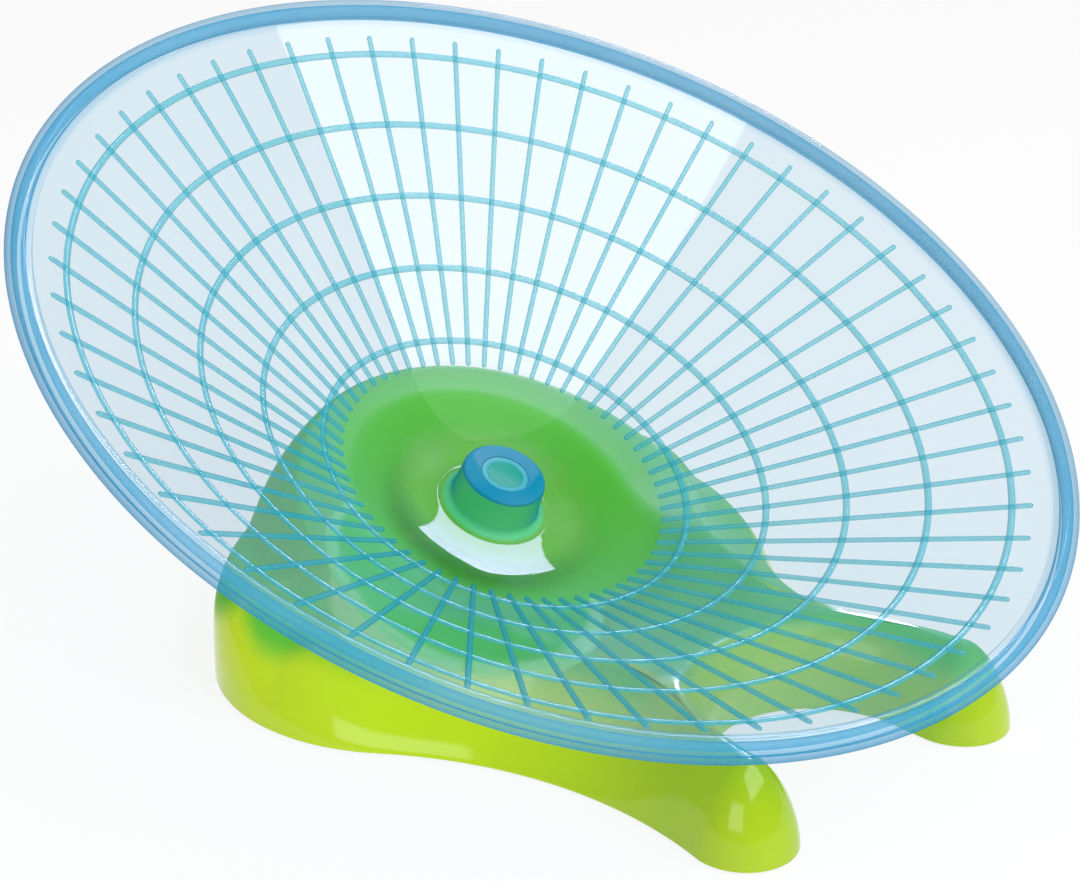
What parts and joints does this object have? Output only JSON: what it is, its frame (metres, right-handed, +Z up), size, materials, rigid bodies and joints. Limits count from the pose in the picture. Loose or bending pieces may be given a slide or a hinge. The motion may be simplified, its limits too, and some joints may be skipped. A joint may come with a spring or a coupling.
{
  "type": "hamster saucer wheel",
  "caption": "Shallow clear running dish with a moulded web of treads, spinning about a tilted axis on a low hollow base with two rounded front toes.",
  "frame": {"origin": "centre of the footprint on the table, midway between the ends of the whole object along X and Y", "axes": "+X to the right seen from the front, +Y to the back, where the dish is high, +Z up"},
  "size_m": [0.297, 0.2685, 0.1618],
  "materials": {
    "dish_plastic": "clear moulded, polished",
    "tread_plastic": "clear moulded, polished",
    "cap_plastic": "clear moulded, polished",
    "base_plastic": "clear tinted, polished",
    "axle_steel": "turned",
    "plated_steel": "zinc plated",
    "race_steel": "ground",
    "ball_steel": "polished",
    "shield_steel": "pressed",
    "cage_brass": "pressed",
    "foot_rubber": "matt"
  },
  "bodies": {
    "base": {"base_shell": "base_plastic", "spindle": "axle_steel", "spindle_screw": "plated_steel", "spindle_washer": "plated_steel", "retaining_screw": "plated_steel", "retaining_washer": "plated_steel", "bearing_spacer": "axle_steel", "upper_inner_race": "race_steel", "lower_inner_race": "race_steel", "foot_front_left": "foot_rubber", "foot_front_right": "foot_rubber", "foot_rear_left": "foot_rubber", "foot_rear_right": "foot_rubber"},
    "dish": {"running_dish": "dish_plastic", "tread_grid": "tread_plastic", "hub_cap": "cap_plastic", "upper_outer_race": "race_steel", "lower_outer_race": "race_steel", "upper_shields": "shield_steel", "lower_shields": "shield_steel"},
    "upper_ball_set": {"upper_cage": "cage_brass", "upper_balls": "ball_steel"},
    "lower_ball_set": {"lower_cage": "cage_brass", "lower_balls": "ball_steel"}
  },
  "joints": [
    {"name": "dish_spin", "type": "hinge", "parent": "base", "child": "dish", "pos_m": [0, 0, 0.0956], "axis": [0, -0.4321, 0.9018], "continuous": true},
    {"name": "upper_ball_spin", "type": "hinge", "parent": "base", "child": "upper_ball_set", "pos_m": [0, 0, 0.0956], "axis": [0, -0.4321, 0.9018], "continuous": true},
    {"name": "lower_ball_spin", "type": "hinge", "parent": "base", "child": "lower_ball_set", "pos_m": [0, 0, 0.0956], "axis": [0, -0.4321, 0.9018], "continuous": true}
  ],
  "couplings": [
    {"joint": "upper_ball_spin", "follows": "dish_spin", "ratio": 0.64},
    {"joint": "lower_ball_spin", "follows": "dish_spin", "ratio": 0.64}
  ]
}
